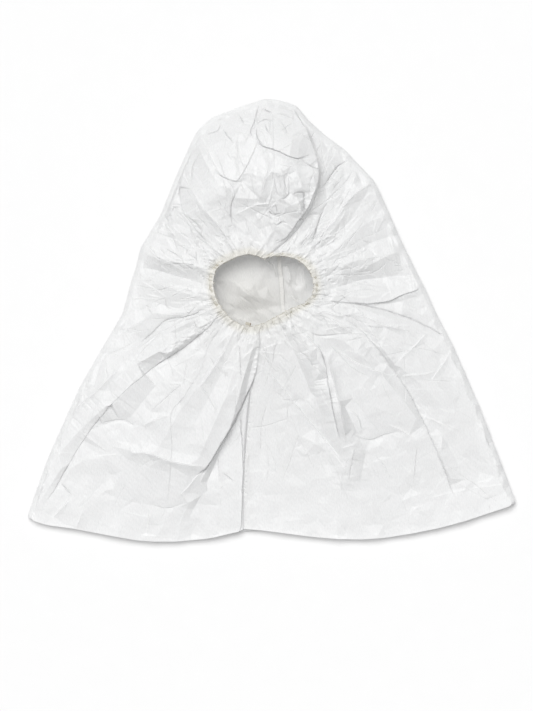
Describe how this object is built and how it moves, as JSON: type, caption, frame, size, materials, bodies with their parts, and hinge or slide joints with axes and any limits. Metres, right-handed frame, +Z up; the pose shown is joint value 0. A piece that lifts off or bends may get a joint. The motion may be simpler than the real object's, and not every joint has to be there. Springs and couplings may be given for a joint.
{
  "type": "protective hood",
  "caption": "Disposable pullover hood of white spunbonded sheet, lying flat, with a gathered elastic face opening, a puffed crown and a wide shoulder cape.",
  "frame": {"origin": "middle of the hood's footprint, on the floor that its back lies on", "axes": "+X across the shoulders, +Y from the hem to the crown, +Z up out of the face opening"},
  "size_m": [0.563, 0.509, 0.053],
  "materials": {
    "sheet": "white spunbonded sheet, faintly glossy, embossed",
    "seam": "overlocked sheet edges, matte",
    "gathered_band": "sheet gathered over elastic, overlocked in cream thread",
    "elastic_end": "beige covered elastic, cut end"
  },
  "bodies": {
    "root": {"left_panel": "sheet", "right_panel": "sheet", "crown_back_seam": "seam", "front_seam": "seam", "face_elastic": "gathered_band", "elastic_tab": "elastic_end"}
  },
  "joints": []
}
